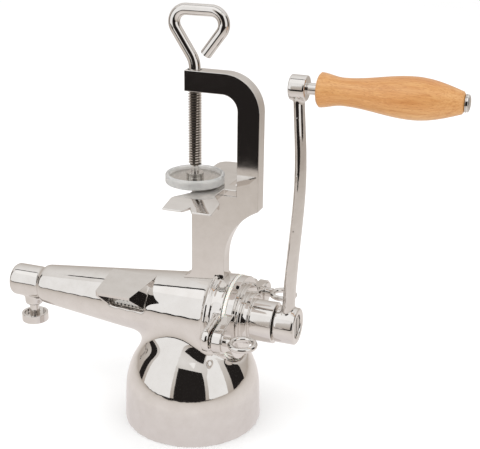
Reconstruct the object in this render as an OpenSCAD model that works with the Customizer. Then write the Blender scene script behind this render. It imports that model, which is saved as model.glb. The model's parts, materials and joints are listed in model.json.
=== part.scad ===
// Hand-cranked stainless auger juicer with a table clamp, standing on its hopper mouth.
// Origin: centre of the hopper mouth on the floor plane. +X runs along the barrel to the
// crank, -Y faces the juice window, +Z is up.

/* [Hopper] */
// Outer diameter of the hopper mouth
mouth_d = 110; // [100:1:132]
// Height of the near-straight skirt above the mouth
skirt_h = 25; // [20:1:30]
// Wall thickness of the spun hopper
hopper_wall = 2.2; // [1.6:0.1:2.6]
// Diameter of the throat from the hopper into the barrel
throat_d = 40; // [30:1:46]

/* [Barrel] */
// Height of the barrel and crank axis above the floor
axis_z = 93; // [90:1:96]
// Outer diameter at the small end of the cone
barrel_small_d = 32; // [30:1:38]
// Outer diameter at the cover end of the cone
barrel_large_d = 66.4; // [62:0.2:72]
// Length of the cone
barrel_len = 167; // [150:1:190]
// Wall thickness of the barrel casting
barrel_wall = 3; // [2.5:0.1:3.5]
// Outer diameter of the pulp nozzle
nozzle_d = 26.6; // [25:0.2:30]
// Length of the pulp nozzle, with its shallow neck
nozzle_len = 30; // [26:1:36]
// Bore of the pulp outlet
outlet_d = 18; // [16:1:19]

/* [Juice window] */
// Reach of the chute lip from the barrel axis
chute_reach = 45; // [38:1:54]
// Wall thickness of the chute
chute_wall = 2.5; // [2:0.1:3]
// Diameter of one strainer perforation
strainer_hole_d = 1.6; // [1.2:0.1:2]

/* [Cover and hub] */
// Outer diameter of the cover
cover_d = 65; // [62:1:68]
// Outer diameter of the bearing hub
hub_d = 32; // [30:1:36]
// Length of the bearing hub
hub_len = 18; // [16:1:24]
// Distance from the axis to each eye screw
ear_reach = 48; // [46:1:58]
// Thickness of the ring gasket
gasket_t = 2.5; // [2:0.1:3]
// Mean diameter of an eye screw's loop
eye_d = 18; // [16:0.5:19]

/* [Crank] */
// Distance between the crank axis and the grip axis
crank_radius = 185; // [150:1:222]
// Diameter of the boss on the crank axis
crank_boss_d = 28.6; // [26:0.2:32]
// Length of the boss on the crank axis
crank_boss_len = 16.4; // [14:0.2:20]
// Length of the wooden grip
grip_len = 101; // [85:1:123]
// Largest diameter of the wooden grip
grip_d = 29.6; // [28:0.2:36]

/* [Clamp] */
// Inner height of the clamp throat
throat_h = 71; // [60:1:86]
// Height of the seat that carries the jaw plate above the barrel axis
seat_rise = 100; // [95:1:115]
// Thickness of the clamp frame
frame_t = 12; // [11.5:0.5:16]
// Length of the jaw plate
jaw_len = 106; // [96:1:127]
// Diameter of the clear pad
pad_d = 45; // [42:1:54]
// Thread diameter of the clamp screw
screw_d = 10; // [8.5:0.5:10]

/* [Hidden] */
$fn = 96;
eps = 0.5;                 // overshoot of a cut past the face that it opens
run_fit = 0.05;            // radial clearance of a turning or sliding fit
slack = 0.3;               // gap between faces of pieces that move past each other
steel = "gainsboro";
white = "white";
wood = "burlywood";

// Places along the barrel, all on the crank axis
barrel_end_x = 36;
barrel_start_x = barrel_end_x - barrel_len;
nozzle_end_x = barrel_start_x - nozzle_len;
barrel_slope = (barrel_large_d - barrel_small_d) / 2 / barrel_len;
function barrel_r(x) = barrel_small_d / 2 + (x - barrel_start_x) * barrel_slope;
function bore_r(x) = barrel_r(x) - barrel_wall;
function sleeve_r(x) = bore_r(x) - strainer_gap;

// Nozzle and pressure screw
neck_len = 6;
nozzle_round = 1.5;
knob_d = 22;
knob_h = 7;
knob_cup_d = 17.6;
knob_cup_depth = 3;
pressure_d = 8;
pressure_boss_d = 15;
pressure_boss_drop = 20.2;
pressure_x = nozzle_end_x + 16;
knob_gap = 8;
knob_top_z = axis_z - pressure_boss_drop - knob_gap;
plug_d = 7;
plug_h = 6;
plug_pin_d = 3;
plug_base_z = axis_z - outlet_d / 2 - plug_h;

// Hopper profile: straight skirt, then a parabola that runs up under the barrel
hopper_top_z = axis_z - 9;
shoulder_z = axis_z - 13;
mouth_roll = 1;
shoulder_depth = 27;
shoulder_in = mouth_d / 2 - mouth_roll - shoulder_depth;
hopper_steps = 14;
mouth_land = 6;
function hopper_r(z) = mouth_d / 2 - mouth_roll
    - (mouth_d / 2 - mouth_roll - shoulder_in) * pow(max(0, z - skirt_h) / (shoulder_z - skirt_h), 2);

// Flange, gasket and cover
collar_len = 6;            // depth of the flange that the lugs stand on
bead_w = 3.5;
bead_x = barrel_end_x - 15;
collar_d = barrel_large_d + 3.6;
lug_r = 9.5;
ear_rise = 2;
lug_web_y = 27;
lug_web_z = 15;
lug_web_out = 1;
lug_web_in = 0.3;
gasket_in_r = bore_r(barrel_end_x);
cover_x = barrel_end_x + gasket_t;
cover_t = 5.5;
ear_t = 7;
step_d = 52;
step_t = 3;
hub_collar_d = 40;
hub_collar_t = 5;
hub_x = cover_x + cover_t + step_t + hub_collar_t;
hub_end_x = hub_x + hub_len;
spigot_t = 5;
spigot_x = cover_x - spigot_t;
spigot_gap = 0.1;
recess_r = max(cover_d / 2 + 0.5, collar_d / 2) + slack;
shaft_d = 12;
bush_d = 18;
bush_len = 10;
bush_lip_t = 2.5;
thrust_t = 1.5;
thrust_d = 24;

// Eye screws
eye_thread_d = 5;
eye_clear = 0.25;
eye_wire_d = 4.4;
eye_collar_d = 7.4;
eye_collar_len = 4;
eye_washer_d = 16;
eye_washer_t = 1.2;
eye_tilt = -1;
eye_base_x = cover_x + ear_t;
eye_collar_x = eye_base_x + eye_washer_t;
eye_loop_x = eye_collar_x + eye_collar_len + eye_d / 2;

// Juice chute: a hood with a wall at each end and its mouth between the lip and the sill
chute_left_x = -66;
chute_lip_left_x = -63;
chute_lip_right_x = -33;
chute_right_x = -28;
chute_root_y = -6;         // the walls start inside the barrel
chute_side_y = -12;        // and turn towards the lip here
lip_corner = 3;
lip_t = 2;
chute_deep = 20;           // depth of the blocks that cut the roof and the mouth
chute_top_rise = barrel_r(chute_right_x);
chute_lip_rise = 22;
roof_fall = atan((chute_top_rise - chute_lip_rise) / chute_reach);
window_low = 2.5;
sill_y = barrel_r(chute_lip_left_x) - 0.7;
mouth_fall = atan((chute_lip_rise - lip_t - window_low) / (chute_reach - sill_y));
window_left_x = chute_left_x + 3.5;
window_right_x = chute_right_x - 3;
strainer_t = 1.2;
strainer_gap = 0.15;
strainer_left_x = chute_left_x - 3;
strainer_right_x = chute_right_x + 6;
perf_pitch = 3.4;
perf_turn = 10;
perf_first = 10;
perf_rows = 7;

// Auger
auger_gap = 0.6;
auger_nose_x = barrel_start_x + 8;
auger_back_x = spigot_x - thrust_t;
auger_core_nose_r = 7;
auger_core_back_r = 15;
auger_shaft_depth = 60;
flight_t = 4;
flight_turns = 5;
auger_back_t = 4;

// Crank
boss_x = hub_end_x + 1;
boss_end_x = boss_x + crank_boss_len;
end_recess_d = 18;
end_recess_depth = 4;
end_screw_d = 5;
end_screw_len = 12;
end_head_d = 15;
end_head_t = 2.8;
end_slot_w = 2;
end_slot_depth = 1.4;
key_w = 3;
key_h = 3;
key_len = 12;
arm_low_tx = 9;
arm_top_tx = 7.6;
arm_low_wy = 17;
arm_top_wy = 12;
arm_x = boss_x + crank_boss_len / 2;
arm_bow = 4;
arm_lean = 3;
arm_steps = 16;
top_boss_d = 18.4;
top_boss_len = 12.4;
top_boss_shift = 0.2;
grip_z = axis_z + crank_radius;
top_boss_x = arm_x + arm_lean - top_boss_len / 2 - top_boss_shift;
top_boss_end_x = top_boss_x + top_boss_len;
grip_gap = 8.4;
grip_x = top_boss_end_x + grip_gap;
grip_end_x = grip_x + grip_len;
grip_bolt_d = 6;
spacer_d = 8.3;
grip_washer_d = 12.6;
grip_washer_t = 0.8;
grip_nut_d = 12;
grip_nut_h = 2.8;
bolt_tip = 1.8;
grip_steps = 28;
grip_end_round = 2;
grip_neck_d = 24.8;
grip_waist_d = 19.6;
grip_tail_d = 14.4;
grip_waist_at = 0.17;
grip_belly_at = 0.66;

// Clamp frame in the XZ plane
screw_x = 2.5;
frame_end_x = screw_x - 6;
post_in_x = 38;
post_out_x = 55;
frame_out_r = 28;
frame_in_r = 12;
arm_h = 15.5;
seat_z = axis_z + seat_rise;
arm_low_z = seat_z + throat_h + 5;
arm_high_z = arm_low_z + arm_h;
leg_left_x = 2;
leg_right_x = 28.5;
sweep_r = 46.5;
sweep_drop = 52;
sweep_z = seat_z - sweep_drop;
leg_foot = 7;
leg_foot_h = 9;

// Jaw plate: an H-shaped plate, long in Y
jaw_t = 5;
jaw_end_w = 38;
jaw_waist_w = 20;
jaw_x = 18;
jaw_toe_notch = 7;
jaw_toe_len = 16;
jaw_waist_len = 46;
jaw_top_z = seat_z + jaw_t;
jaw_toe_slope = 18;
jaw_toe_drop = 3.6;
lobe_extra = 9;
lobe_r = 9;
tail_reach = post_in_x - jaw_x;

// Clamp screw and pad
clamp_gap = 0.6;
pad_z = jaw_top_z + clamp_gap;
pad_h = 7.4;
pad_floor = 2.5;
pad_wall = 3;
disc_t = 2;
disc_boss_d = 13;
disc_boss_h = 3.5;
rivet_d = 9;
rivet_t = 1.4;
rivet_gap = 0.3;
neck_d = 6;
neck_h = 6;
disc_z = pad_z + pad_floor;
disc_top_z = disc_z + disc_t + disc_boss_h;
thread_z = disc_top_z + neck_h;
rod_d = screw_d - 1.5;
loop_r = 9.5;
loop_top = 19.5;
stem_h = 1.6;
rod_lap = 0.3;             // how far a straight length runs into the bend beside it
rod_swell = 0.04;          // a bend is a hair thicker than the straight rod
loop_left_a = 33;
loop_right_a = 36.7;
bend_r = 18;
loop_run = 21.2;
loop_tail = 20;

// ---------- helpers ----------
// A turned piece along X: polygon points are [x, r]
module lathe_x(pts) {
    rotate([0, 90, 0]) rotate_extrude()
        polygon([for (p = pts) [p[1], p[0]]]);
}
// A cylinder along X from x0 to x1 on the crank axis height
module rod_x(x0, x1, r) {
    translate([x0, 0, 0]) rotate([0, 90, 0]) cylinder(h = x1 - x0, r = r);
}
module at_axis() {
    translate([0, 0, axis_z]) children();
}
// A plate in the XZ plane, centred on y = 0
module plate_xz(t) {
    translate([0, t / 2, 0]) rotate([90, 0, 0]) linear_extrude(height = t) children();
}
// A plate in the YZ plane from x to x + t
module plate_yz(x, t) {
    translate([x, 0, 0]) rotate([90, 0, 90]) linear_extrude(height = t) children();
}

// ---------- barrel ----------
module barrel_outside() {
    at_axis() lathe_x([
        [barrel_start_x - neck_len / 2, 0],
        [barrel_start_x - neck_len / 2, nozzle_d / 2],
        [barrel_start_x, barrel_small_d / 2],
        [barrel_end_x, barrel_large_d / 2],
        [barrel_end_x, 0]]);
    at_axis() rod_x(bead_x, bead_x + bead_w, collar_d / 2);
}
module nozzle_outside() {
    at_axis() lathe_x([
        [nozzle_end_x, 0],
        [nozzle_end_x, nozzle_d / 2 - nozzle_round],
        [nozzle_end_x + nozzle_round, nozzle_d / 2],
        [barrel_start_x - neck_len, nozzle_d / 2],
        [barrel_start_x - neck_len * 0.75, nozzle_d / 2 - 1],
        [barrel_start_x - neck_len / 2, nozzle_d / 2],
        [barrel_start_x - neck_len / 2, 0]]);
    translate([pressure_x, 0, axis_z - pressure_boss_drop])
        cylinder(h = pressure_boss_drop, d = pressure_boss_d);
}
module lug_shape(side) {
    translate([side * ear_reach, ear_rise]) circle(r = lug_r);
    polygon([
        [side * lug_web_y, lug_web_z],
        [side * (ear_reach + lug_web_out), ear_rise + lug_r - lug_web_in],
        [side * (ear_reach + lug_web_out), ear_rise - lug_r + lug_web_in],
        [side * lug_web_y, -lug_web_z]]);
}
// The window: a sector of the barrel wall from just above the axis to the chute's roof
module window_cut() {
    x0 = window_left_x;
    x1 = window_right_x;
    translate([x0, -chute_reach, axis_z + window_low])
        cube([x1 - x0, chute_reach - 3, chute_top_rise - window_low - chute_wall * 2]);
}
module barrel_casting() {
    color(steel) difference() {
        union() {
            barrel_outside();
            nozzle_outside();
            for (side = [-1, 1])
                at_axis() plate_yz(barrel_end_x - collar_len, collar_len) lug_shape(side);
        }
        at_axis() lathe_x([
            [barrel_start_x, 0],
            [barrel_start_x, bore_r(barrel_start_x)],
            [barrel_end_x + eps, bore_r(barrel_end_x + eps)],
            [barrel_end_x + eps, 0]]);
        at_axis() rod_x(nozzle_end_x - eps, barrel_start_x + eps, outlet_d / 2);
        translate([pressure_x, 0, axis_z - pressure_boss_drop - eps])
            cylinder(h = pressure_boss_drop, r = pressure_d / 2 + run_fit);
        translate([0, 0, axis_z - barrel_large_d])
            cylinder(h = barrel_large_d, d = throat_d);
        window_cut();
        for (side = [-1, 1])
            at_axis() translate([0, side * ear_reach, ear_rise])
                rod_x(barrel_end_x - collar_len - eps, barrel_end_x + eps,
                    eye_thread_d / 2 + run_fit);
    }
}

// Hopper profile from the mouth up, moved inwards by in
function hopper_zs() = [for (i = [0:hopper_steps]) skirt_h + (hopper_top_z - skirt_h) * i / hopper_steps];
function hopper_pts(in) = [for (z = hopper_zs()) [hopper_r(z) - in, z]];
function flip(pts) = [for (i = [len(pts) - 1:-1:0]) pts[i]];
mouth_pts = [[mouth_d / 2, 0], [mouth_d / 2, 2 * mouth_roll]];
module hopper_bell() {
    mouth_in = mouth_d / 2 - hopper_wall;
    color(steel) difference() {
        union() {
            rotate_extrude() polygon(concat(
                [[mouth_in, 0]], mouth_pts, hopper_pts(0), flip(hopper_pts(hopper_wall)),
                [[mouth_in, mouth_land]]));
            // recess formed in the shoulder, so that the cover can be drawn off
            intersection() {
                rotate_extrude() polygon(concat([[0, 0]], mouth_pts, hopper_pts(0), [[0, hopper_top_z]]));
                at_axis() rod_x(barrel_end_x - collar_len, mouth_d, recess_r + hopper_wall);
            }
        }
        barrel_outside();
        at_axis() rod_x(barrel_end_x - eps, mouth_d, recess_r);
        at_axis() for (side = [-1, 1])
            plate_yz(barrel_end_x - collar_len, collar_len) lug_shape(side);
    }
}

// ---------- juice window ----------
module chute_plan(inset) {
    polygon([
        [chute_left_x + inset, chute_root_y],
        [chute_left_x + inset, chute_side_y],
        [chute_lip_left_x + inset, lip_corner - chute_reach],
        [chute_lip_left_x + max(inset, lip_corner), -chute_reach],
        [chute_lip_right_x - inset / 2, -chute_reach],
        [chute_right_x - inset, chute_side_y],
        [chute_right_x - inset, chute_root_y]]);
}
// Everything above the sloping roof, lowered by drop
module above_roof(drop) {
    translate([chute_left_x - eps, 0, axis_z + chute_top_rise - drop]) rotate([roof_fall, 0, 0])
        translate([0, -2 * chute_reach, 0])
            cube([chute_right_x - chute_left_x + 2 * eps, 2 * chute_reach, chute_deep]);
}
// Everything below the line from the window's sill to the lip
module below_mouth() {
    translate([chute_left_x - eps, -sill_y, axis_z + window_low]) rotate([180 - mouth_fall, 0, 0])
        cube([chute_right_x - chute_left_x + 2 * eps, 2 * chute_reach, 3 * chute_deep]);
}
module juice_chute() {
    color(steel) difference() {
        translate([0, 0, axis_z + window_low]) linear_extrude(height = chute_top_rise - window_low)
            chute_plan(0);
        difference() {
            translate([0, 0, axis_z]) linear_extrude(height = chute_top_rise) chute_plan(chute_wall);
            above_roof(chute_wall);
        }
        above_roof(0);
        below_mouth();
        barrel_outside();
    }
}
module strainer() {
    x0 = strainer_left_x;
    x1 = strainer_right_x;
    color(steel) difference() {
        at_axis() lathe_x([
            [x0, sleeve_r(x0) - strainer_t], [x0, sleeve_r(x0)],
            [x1, sleeve_r(x1)], [x1, sleeve_r(x1) - strainer_t]]);
        for (row = [0:perf_rows - 1])
            for (x = [window_left_x + perf_pitch * (1 + 0.5 * (row % 2)) : perf_pitch : window_right_x - 2])
                at_axis() translate([x, 0, 0]) rotate([90 - perf_first - perf_turn * row, 0, 0])
                    translate([0, 0, bore_r(x) - 3]) cylinder(h = 6, d = strainer_hole_d, $fn = 16);
    }
}

// ---------- cover, gasket and hub ----------
module cover_gasket() {
    color(white) at_axis() difference() {
        rod_x(barrel_end_x, cover_x, cover_d / 2 + 0.5);
        rod_x(barrel_end_x - eps, cover_x + eps, gasket_in_r);
    }
}
module hub_cover() {
    color(steel) at_axis() difference() {
        union() {
            rod_x(spigot_x, cover_x, gasket_in_r - spigot_t * barrel_slope - spigot_gap);
            rod_x(cover_x, cover_x + cover_t, cover_d / 2);
            rod_x(cover_x, cover_x + cover_t + step_t, step_d / 2);
            rod_x(cover_x, hub_x, hub_collar_d / 2);
            rod_x(cover_x, hub_end_x, hub_d / 2);
            plate_yz(cover_x, ear_t) lug_shape(-1);
            plate_yz(cover_x, ear_t) lug_shape(1);
        }
        rod_x(spigot_x - eps, hub_end_x + eps, shaft_d / 2 + 0.5);
        rod_x(spigot_x + bush_lip_t, hub_end_x + eps, bush_d / 2);
        for (side = [-1, 1])
            translate([0, side * ear_reach, ear_rise])
                rod_x(cover_x - eps, cover_x + ear_t + eps, eye_thread_d / 2 + eye_clear);
    }
}
module bush(x) {
    color(white) at_axis() difference() {
        rod_x(x, x + bush_len, bush_d / 2);
        rod_x(x - eps, x + bush_len + eps, shaft_d / 2 + run_fit);
    }
}
module hub_bush_inner() {
    bush(spigot_x + bush_lip_t);
}
module hub_bush_outer() {
    bush(hub_end_x - bush_len);
}
module thrust_washer() {
    color(white) at_axis() difference() {
        rod_x(spigot_x - thrust_t, spigot_x, thrust_d / 2);
        rod_x(spigot_x - thrust_t - eps, spigot_x + eps, shaft_d / 2 + 0.2);
    }
}

// ---------- eye screws ----------
module at_eye(side) {
    translate([0, side * ear_reach, axis_z + ear_rise]) children();
}
module eye_washer(side) {
    color(steel) at_eye(side) difference() {
        rod_x(eye_base_x, eye_base_x + eye_washer_t, eye_washer_d / 2);
        rod_x(eye_base_x - eps, eye_base_x + eye_washer_t + eps, eye_thread_d / 2 + run_fit);
    }
}
module eye_screw(side) {
    color(steel) at_eye(side) {
        rod_x(barrel_end_x - collar_len - 2, eye_collar_x, eye_thread_d / 2);
        rod_x(eye_collar_x, eye_collar_x + eye_collar_len, eye_collar_d / 2);
        translate([eye_loop_x, 0, 0]) rotate([side * eye_tilt, 0, 0])
            rotate_extrude() translate([eye_d / 2, 0]) circle(d = eye_wire_d);
    }
}
module eye_washer_front() {
    eye_washer(-1);
}
module eye_washer_rear() {
    eye_washer(1);
}
module eye_screw_front() {
    eye_screw(-1);
}
module eye_screw_rear() {
    eye_screw(1);
}

// ---------- pressure screw ----------
module pressure_plug() {
    color(white) translate([pressure_x, 0, plug_base_z]) difference() {
        cylinder(h = plug_h, d = plug_d);
        translate([0, 0, -eps]) cylinder(h = plug_h - 1, r = plug_pin_d / 2 + run_fit);
    }
}
module pressure_screw() {
    color(steel) translate([pressure_x, 0, 0]) {
        translate([0, 0, knob_top_z - knob_cup_depth])
            cylinder(h = plug_base_z - knob_top_z + knob_cup_depth, d = pressure_d);
        translate([0, 0, plug_base_z]) cylinder(h = plug_h - 2.2, d = plug_pin_d);
        difference() {
            translate([0, 0, knob_top_z - knob_h]) cylinder(h = knob_h, d = knob_d);
            translate([0, 0, knob_top_z - knob_cup_depth])
                cylinder(h = knob_cup_depth + eps, d = knob_cup_d);
        }
    }
}

// ---------- clamp ----------
module frame_outline() {
    difference() {
        union() {
            translate([frame_end_x, seat_z])
                square([post_out_x - frame_out_r - frame_end_x, arm_high_z - seat_z]);
            translate([frame_end_x, seat_z])
                square([post_out_x - frame_end_x, arm_high_z - frame_out_r - seat_z]);
            translate([post_out_x - frame_out_r, arm_high_z - frame_out_r]) circle(r = frame_out_r);
            translate([leg_left_x, axis_z]) square([post_out_x - leg_left_x, seat_z - axis_z + eps]);
            translate([leg_left_x - leg_foot, axis_z])
                square([leg_foot + eps, barrel_r(0) + leg_foot_h]);
        }
        // throat, with a rounded inner corner
        translate([frame_end_x - eps, seat_z])
            square([post_in_x - frame_in_r - frame_end_x + eps, arm_low_z - seat_z]);
        translate([frame_end_x - eps, seat_z])
            square([post_in_x - frame_end_x + eps, arm_low_z - frame_in_r - seat_z]);
        translate([post_in_x - frame_in_r, arm_low_z - frame_in_r]) circle(r = frame_in_r);
        // concave sweep from the post down to the leg
        translate([leg_right_x + sweep_r, sweep_z]) circle(r = sweep_r);
        translate([leg_right_x, axis_z - eps])
            square([post_out_x, sweep_z - axis_z + eps]);
        // rounded foot
        translate([leg_left_x - leg_foot_h, axis_z + barrel_r(0) + leg_foot_h]) circle(r = leg_foot_h);
    }
}
module clamp_frame() {
    color(steel) difference() {
        plate_xz(frame_t) frame_outline();
        barrel_outside();
        translate([screw_x, 0, arm_low_z - eps])
            cylinder(h = arm_h + 2 * eps, r = screw_d / 2 + run_fit);
    }
}
// Half of the jaw plate on the -Y side, where its toe has a notch
function jaw_front() = let (half = jaw_len / 2) [
    [tail_reach, -frame_t / 2],
    [jaw_waist_w / 2, -frame_t / 2],
    [jaw_waist_w / 2, -jaw_waist_len / 2],
    [jaw_end_w / 2, jaw_toe_len - half],
    [jaw_end_w / 2, -half],
    [jaw_toe_notch / 2, -half],
    [0, jaw_toe_notch - half],
    [-jaw_toe_notch / 2, -half],
    [-jaw_end_w / 2, -half],
    [-jaw_end_w / 2, jaw_toe_len - half],
    [-jaw_waist_w / 2, -jaw_waist_len / 2]];
// The other half, a longer lobe with round corners
function jaw_rear() = let (half = jaw_len / 2 + lobe_extra) [
    [-jaw_waist_w / 2, jaw_waist_len / 2],
    [-jaw_end_w / 2, half - jaw_toe_len - lobe_extra / 2],
    for (a = [180:-15:90]) [lobe_r - jaw_end_w / 2 + lobe_r * cos(a), half - lobe_r + lobe_r * sin(a)],
    for (a = [90:-15:0]) [jaw_end_w / 2 - lobe_r + lobe_r * cos(a), half - lobe_r + lobe_r * sin(a)],
    [jaw_end_w / 2, half - jaw_toe_len - lobe_extra / 2],
    [jaw_waist_w / 2, jaw_waist_len / 2],
    [jaw_waist_w / 2, frame_t / 2],
    [tail_reach, frame_t / 2]];
module jaw_outline() {
    polygon(concat(jaw_front(), jaw_rear()));
}
module jaw_plate() {
    color(steel) difference() {
        translate([jaw_x, 0, seat_z]) linear_extrude(height = jaw_t) jaw_outline();
        // the notched toe falls away
        translate([jaw_x, jaw_toe_slope - jaw_len / 2, jaw_top_z])
            rotate([atan(jaw_toe_drop / jaw_toe_slope), 0, 0])
                translate([-jaw_end_w, -jaw_len, 0])
                    cube([2 * jaw_end_w, jaw_len, jaw_t]);
    }
}
module clear_pad() {
    color("azure", 0.5) translate([screw_x, 0, pad_z]) difference() {
        cylinder(h = pad_h, d = pad_d);
        translate([0, 0, pad_floor]) cylinder(h = pad_h, d = pad_d - 2 * pad_wall);
    }
}
module pad_disc() {
    color(steel) translate([screw_x, 0, disc_z]) difference() {
        union() {
            cylinder(h = disc_t, d = pad_d - 2 * pad_wall);
            cylinder(h = disc_t + disc_boss_h, d = disc_boss_d);
        }
        translate([0, 0, -eps]) cylinder(h = disc_t + disc_boss_h + 2 * eps, r = neck_d / 2 + run_fit);
        translate([0, 0, -eps]) cylinder(h = rivet_t + 2 * rivet_gap + eps, d = rivet_d + 2 * slack);
    }
}
module swivel_rivet() {
    color(steel) translate([screw_x, 0, disc_z + rivet_gap]) cylinder(h = rivet_t, d = rivet_d);
}
// A straight length of rod along the local Z, then whatever follows at its end
module run(h) {
    translate([0, 0, -rod_lap]) cylinder(h = h + 2 * rod_lap, d = rod_d);
    translate([0, 0, h]) children();
}
// A bend of the rod towards the local +X, then whatever follows at its end
module turn(r, a) {
    translate([r, 0, 0]) {
        rotate([90, 0, 0]) rotate(180 - a) rotate_extrude(angle = a)
            translate([r, 0]) circle(d = rod_d + rod_swell);
        rotate([0, a, 0]) translate([-r, 0, 0]) children();
    }
}
// One rod: neck and thread below, then a teardrop loop bent in the XZ plane
module clamp_screw() {
    neck_z = disc_z + rivet_gap + rivet_t;
    thread_end_z = arm_high_z - 1;
    color(steel) {
        translate([screw_x, 0, neck_z]) cylinder(h = thread_z - neck_z, d = neck_d);
        translate([screw_x, 0, thread_z]) cylinder(h = thread_end_z - thread_z, d = screw_d);
        translate([screw_x, 0, thread_end_z]) run(stem_h) rotate(180) turn(bend_r, loop_left_a)
            rotate(180) run(loop_run) turn(loop_r, 90 + loop_left_a) run(loop_top)
            turn(loop_r, 90 + loop_right_a) run(loop_tail);
    }
}

// ---------- auger and crank ----------
module auger() {
    len = auger_back_x - auger_nose_x;
    nose_r = bore_r(auger_nose_x) - strainer_t - auger_gap;
    back_r = bore_r(auger_back_x) - strainer_t - auger_gap;
    color(steel) at_axis() difference() {
        union() {
            lathe_x([
                [auger_nose_x, 0], [auger_nose_x, auger_core_nose_r],
                [auger_back_x, auger_core_back_r], [auger_back_x, 0]]);
            rod_x(auger_back_x - auger_back_t, auger_back_x, back_r - 1);
            translate([auger_nose_x, 0, 0]) rotate([0, 90, 0])
                linear_extrude(height = len - 1, twist = -360 * flight_turns,
                    scale = back_r / nose_r, slices = 80, $fn = 16)
                    translate([0, -flight_t / 2]) square([nose_r, flight_t]);
        }
        rod_x(auger_back_x - auger_shaft_depth, auger_back_x + eps, shaft_d / 2);
    }
}
module auger_shaft() {
    color(steel) at_axis() difference() {
        rod_x(auger_back_x - auger_shaft_depth, boss_end_x - end_recess_depth, shaft_d / 2);
        rod_x(boss_end_x - end_recess_depth - end_screw_len, boss_end_x, end_screw_d / 2);
        translate([boss_end_x - end_recess_depth - key_len, -key_w / 2, shaft_d / 2 - key_h / 2])
            cube([key_len + eps, key_w, key_h]);
    }
}
module drive_key() {
    color(steel) at_axis()
        translate([boss_end_x - end_recess_depth - key_len, -key_w / 2, shaft_d / 2 - key_h / 2])
            cube([key_len, key_w, key_h]);
}
module crank_end_screw() {
    color(steel) at_axis() difference() {
        union() {
            rod_x(boss_end_x - end_recess_depth - end_screw_len, boss_end_x - end_recess_depth,
                end_screw_d / 2);
            rod_x(boss_end_x - end_recess_depth, boss_end_x - end_recess_depth + end_head_t,
                end_head_d / 2);
        }
        translate([boss_end_x - end_recess_depth + end_head_t - end_slot_depth,
            -end_slot_w / 2, -end_head_d])
            cube([end_slot_depth + eps, end_slot_w, 2 * end_head_d]);
    }
}
// Centre of the arm along X at height z: a gentle bow that leans outwards
function arm_cx(t) = arm_x + arm_lean * t + arm_bow * pow(sin(180 * pow(t, 1.4)), 1.5);
module arm_side() {
    z0 = axis_z;
    ts = [for (i = [0:arm_steps]) i / arm_steps];
    polygon(concat(
        [for (t = ts) [arm_cx(t) + (arm_low_tx + (arm_top_tx - arm_low_tx) * t) / 2,
            z0 + crank_radius * t]],
        [for (i = [arm_steps:-1:0]) [arm_cx(ts[i]) - (arm_low_tx + (arm_top_tx - arm_low_tx) * ts[i]) / 2,
            z0 + crank_radius * ts[i]]]));
}
module arm_front() {
    polygon([
        [-arm_low_wy / 2, axis_z], [arm_low_wy / 2, axis_z],
        [arm_top_wy / 2, grip_z], [-arm_top_wy / 2, grip_z]]);
}
module crank_arm() {
    color(steel) difference() {
        union() {
            at_axis() rod_x(boss_x, boss_end_x, crank_boss_d / 2);
            intersection() {
                plate_xz(arm_low_wy + 2) arm_side();
                plate_yz(boss_x - 20, crank_boss_len + 40) arm_front();
            }
            translate([0, 0, grip_z]) rod_x(top_boss_x, top_boss_end_x, top_boss_d / 2);
        }
        at_axis() rod_x(boss_x - eps, boss_end_x + eps, shaft_d / 2);
        at_axis() rod_x(boss_end_x - end_recess_depth, boss_end_x + eps, end_recess_d / 2);
        at_axis() translate([boss_end_x - end_recess_depth - key_len, -key_w / 2,
            shaft_d / 2 - key_h / 2]) cube([key_len + eps, key_w, key_h]);
        translate([0, 0, grip_z]) rod_x(top_boss_x - eps, top_boss_end_x + eps, grip_bolt_d / 2);
    }
}

// ---------- grip ----------
module grip_bolt() {
    color(steel) translate([0, 0, grip_z])
        rod_x(top_boss_x, grip_end_x + grip_washer_t + bolt_tip, grip_bolt_d / 2);
}
module grip_spacer() {
    color(steel) translate([0, 0, grip_z]) difference() {
        rod_x(top_boss_end_x, grip_x - slack, spacer_d / 2);
        rod_x(top_boss_end_x - eps, grip_x, grip_bolt_d / 2);
    }
}
module grip_washer() {
    color(steel) translate([0, 0, grip_z]) difference() {
        rod_x(grip_end_x + slack, grip_end_x + grip_washer_t, grip_washer_d / 2);
        rod_x(grip_end_x, grip_end_x + grip_washer_t + eps, grip_bolt_d / 2);
    }
}
module grip_nut() {
    x0 = grip_end_x + grip_washer_t;
    color(steel) translate([0, 0, grip_z]) difference() {
        lathe_x([
            [x0, 0], [x0, grip_nut_d / 2],
            [x0 + grip_nut_h * 0.5, grip_nut_d / 2],
            [x0 + grip_nut_h * 0.8, grip_nut_d * 0.4],
            [x0 + grip_nut_h, grip_nut_d * 0.2],
            [x0 + grip_nut_h, 0]]);
        rod_x(x0 - eps, x0 + bolt_tip, grip_bolt_d / 2);
    }
}
// Radius of the turned grip along its length, t from 0 at the crank to 1 at the tip
function ease(a, b, t) = a + (b - a) * (1 - cos(180 * min(1, max(0, t)))) / 2;
function grip_r(t) =
    t < grip_waist_at ? ease(grip_neck_d, grip_waist_d, t / grip_waist_at) / 2 :
    t < grip_belly_at ? ease(grip_waist_d, grip_d, (t - grip_waist_at) / (grip_belly_at - grip_waist_at)) / 2 :
    ease(grip_d, 2 * grip_tail_d - grip_d, (t - grip_belly_at) / (1 - grip_belly_at) / 2) / 2;
module wood_grip() {
    body = [for (i = [0:grip_steps]) let (t = i / grip_steps)
        [grip_x + grip_len * t, grip_r(t)]];
    color(wood) translate([0, 0, grip_z]) difference() {
        lathe_x(concat([[grip_x, 0]], body, [[grip_end_x, 0]]));
        rod_x(grip_x - eps, grip_end_x + eps, grip_bolt_d / 2 + run_fit);
    }
}

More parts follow.
